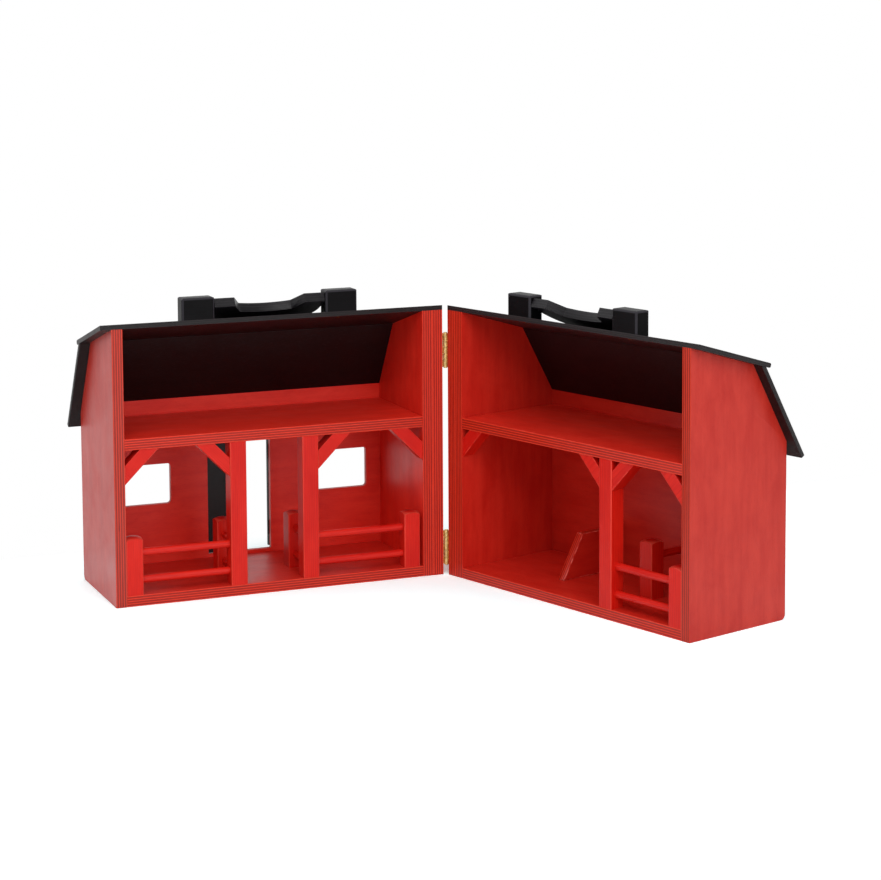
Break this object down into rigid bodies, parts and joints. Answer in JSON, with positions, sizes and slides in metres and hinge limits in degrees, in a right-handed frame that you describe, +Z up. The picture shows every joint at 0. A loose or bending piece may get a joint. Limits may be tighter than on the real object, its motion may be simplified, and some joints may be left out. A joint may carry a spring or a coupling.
{
  "type": "toy barn with opening doors",
  "caption": "Wooden toy barn that folds open like a book, with stalls, hay lofts, windows, opening back doors and a split carrying handle.",
  "frame": {"origin": "middle of the left half's footprint, over its gables' length and depth, on the surface the barn stands on", "axes": "+X along the left half's ridge towards the main hinges, +Y from its open front to its back wall, +Z up"},
  "size_m": [0.658, 0.5293, 0.328],
  "materials": {
    "red_ply": "red-stained birch plywood, satin lacquer",
    "red_wood": "red-stained solid wood, satin lacquer",
    "black_ply": "black-stained plywood, satin lacquer",
    "handle_black": "black-stained hardwood, satin lacquer",
    "brass": "polished brass",
    "black_steel": "black-painted steel, satin"
  },
  "bodies": {
    "left_half": {"left_far_gable": "red_ply", "left_hinge_gable": "red_ply", "left_hinge_facing": "red_ply", "left_back_wall": "red_ply", "left_floor": "red_ply", "left_loft": "red_ply", "left_upper_roof": "black_ply", "left_steep_roof": "black_ply", "left_outer_post": "red_wood", "left_inner_post": "red_wood", "left_braces": "red_wood", "left_far_fence_post": "red_wood", "left_near_fence_post": "red_wood", "left_outer_divider_post": "red_wood", "left_inner_divider_post": "red_wood", "left_far_rails": "red_wood", "left_near_rails": "red_wood", "left_divider_rails": "red_wood", "left_near_block": "handle_black", "left_far_block": "handle_black", "left_grip_pins": "handle_black", "left_block_screws": "brass", "left_hinge_leaves": "brass", "left_hinge_screws": "brass", "main_hinge_pins": "brass", "wall_hinge_leaves": "black_steel", "wall_hinge_screws": "black_steel", "door_hinge_pins": "black_steel"},
    "right_half": {"right_far_gable": "red_ply", "right_hinge_gable": "red_ply", "right_hinge_facing": "red_ply", "right_back_wall": "red_ply", "right_floor": "red_ply", "right_loft": "red_ply", "right_stall_board": "red_ply", "right_upper_roof": "black_ply", "right_steep_roof": "black_ply", "right_tall_post": "red_wood", "right_braces": "red_wood", "right_far_fence_post": "red_wood", "right_stall_post": "red_wood", "right_far_rails": "red_wood", "right_stall_rails": "red_wood", "right_near_block": "handle_black", "right_far_block": "handle_black", "right_grip_pins": "handle_black", "right_block_screws": "brass", "right_hinge_leaves": "brass", "right_hinge_screws": "brass"},
    "far_door_leaf": {"far_door": "black_ply", "far_door_knob": "handle_black", "far_door_leaves": "black_steel", "far_door_screws": "black_steel"},
    "near_door_leaf": {"near_door": "black_ply", "near_door_knob": "handle_black", "near_door_leaves": "black_steel", "near_door_screws": "black_steel"},
    "left_grip_bar": {"left_grip": "handle_black"},
    "right_grip_bar": {"right_grip": "handle_black"}
  },
  "joints": [
    {"name": "barn_fold", "type": "hinge", "parent": "left_half", "child": "right_half", "pos_m": [0.1915, -0.0708, 0.15], "axis": [0, 0, 1], "range_deg": [-107.5, 72.5]},
    {"name": "far_door_swing", "type": "hinge", "parent": "left_half", "child": "far_door_leaf", "pos_m": [-0.0448, 0.0722, 0.083], "axis": [0, 0, 1], "range_deg": [0, 170]},
    {"name": "near_door_swing", "type": "hinge", "parent": "left_half", "child": "near_door_leaf", "pos_m": [0.0298, 0.0722, 0.083], "axis": [0, 0, -1], "range_deg": [-170, 0]},
    {"name": "left_grip_swing", "type": "hinge", "parent": "left_half", "child": "left_grip_bar", "pos_m": [-0.0113, -0.061, 0.31798], "axis": [1, 0, 0], "range_deg": [0, 117]},
    {"name": "right_grip_swing", "type": "hinge", "parent": "right_half", "child": "right_grip_bar", "pos_m": [0.26183, -0.26127, 0.31798], "axis": [0.3007, -0.9537, 0], "range_deg": [0, 117]}
  ]
}
